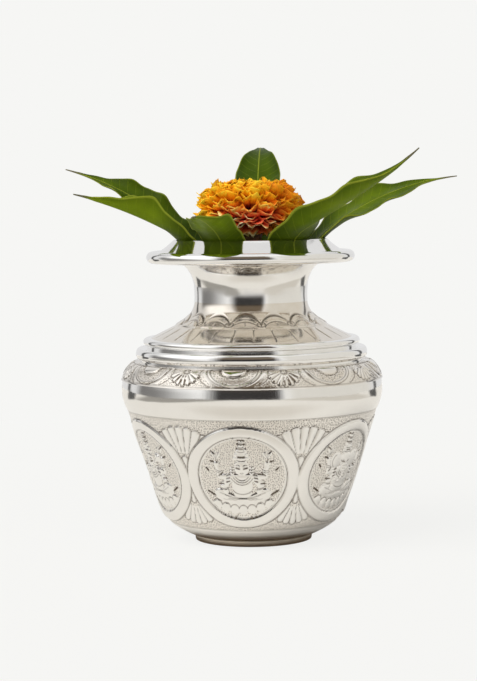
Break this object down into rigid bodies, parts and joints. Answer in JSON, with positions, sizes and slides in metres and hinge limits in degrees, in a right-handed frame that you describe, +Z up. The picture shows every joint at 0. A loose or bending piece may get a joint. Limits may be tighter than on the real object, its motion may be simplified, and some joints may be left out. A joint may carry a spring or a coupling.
{
  "type": "kalash pot",
  "caption": "Footed bright-metal kalash with chased medallions, stepped shoulder, waisted neck and flared rim, dressed with lift-out mango leaves and a marigold.",
  "frame": {"origin": "centre of the foot ring, on the surface that the pot stands on", "axes": "+Z up along the pot's axis, -Y towards the viewer of the picture, +X to the viewer's right"},
  "size_m": [0.218, 0.1961, 0.2135],
  "materials": {
    "white_metal": "polished bright white metal, hand chased",
    "mango_leaf": "glossy fresh leaf with pale midrib",
    "petal": "soft ruffled petal, orange to yellow",
    "stem": "fresh green stem",
    "calyx": "brownish green bracts"
  },
  "bodies": {
    "pot": {"foot_ring": "white_metal", "belly_bowl": "white_metal", "shoulder_band": "white_metal", "lower_step_ring": "white_metal", "upper_step_ring": "white_metal", "neck_cone": "white_metal", "neck_flare": "white_metal", "rim_roll": "white_metal", "mouth_cover": "white_metal"},
    "left_back_leaf": {"left_back_leaf": "mango_leaf"},
    "left_leaf": {"left_leaf": "mango_leaf"},
    "front_left_leaf": {"front_left_leaf": "mango_leaf"},
    "right_front_leaf": {"right_front_leaf": "mango_leaf"},
    "right_back_leaf": {"right_back_leaf": "mango_leaf"},
    "back_leaf": {"back_leaf": "mango_leaf"},
    "marigold": {"marigold_stem": "stem", "marigold_calyx": "calyx", "marigold_heart": "petal", "petal_tier_1": "petal", "petal_tier_2": "petal", "petal_tier_3": "petal", "petal_tier_4": "petal", "petal_tier_5": "petal", "petal_tier_6": "petal"}
  },
  "joints": [
    {"name": "left_back_leaf_lift", "type": "slide", "parent": "pot", "child": "left_back_leaf", "axis": [-0.4415, 0.2347, 0.866], "range_m": [0, 0.07]},
    {"name": "left_leaf_lift", "type": "slide", "parent": "pot", "child": "left_leaf", "axis": [-0.4755, -0.1545, 0.866], "range_m": [0, 0.07]},
    {"name": "front_left_leaf_lift", "type": "slide", "parent": "pot", "child": "front_left_leaf", "axis": [-0.1954, -0.4603, 0.866], "range_m": [0, 0.07]},
    {"name": "right_front_leaf_lift", "type": "slide", "parent": "pot", "child": "right_front_leaf", "axis": [0.2868, -0.4096, 0.866], "range_m": [0, 0.07]},
    {"name": "right_back_leaf_lift", "type": "slide", "parent": "pot", "child": "right_back_leaf", "axis": [0.4891, 0.104, 0.866], "range_m": [0, 0.07]},
    {"name": "back_leaf_lift", "type": "slide", "parent": "pot", "child": "back_leaf", "axis": [0.0436, 0.4981, 0.866], "range_m": [0, 0.07]},
    {"name": "marigold_lift", "type": "slide", "parent": "pot", "child": "marigold", "axis": [0, 0, 1], "range_m": [0, 0.165]}
  ]
}
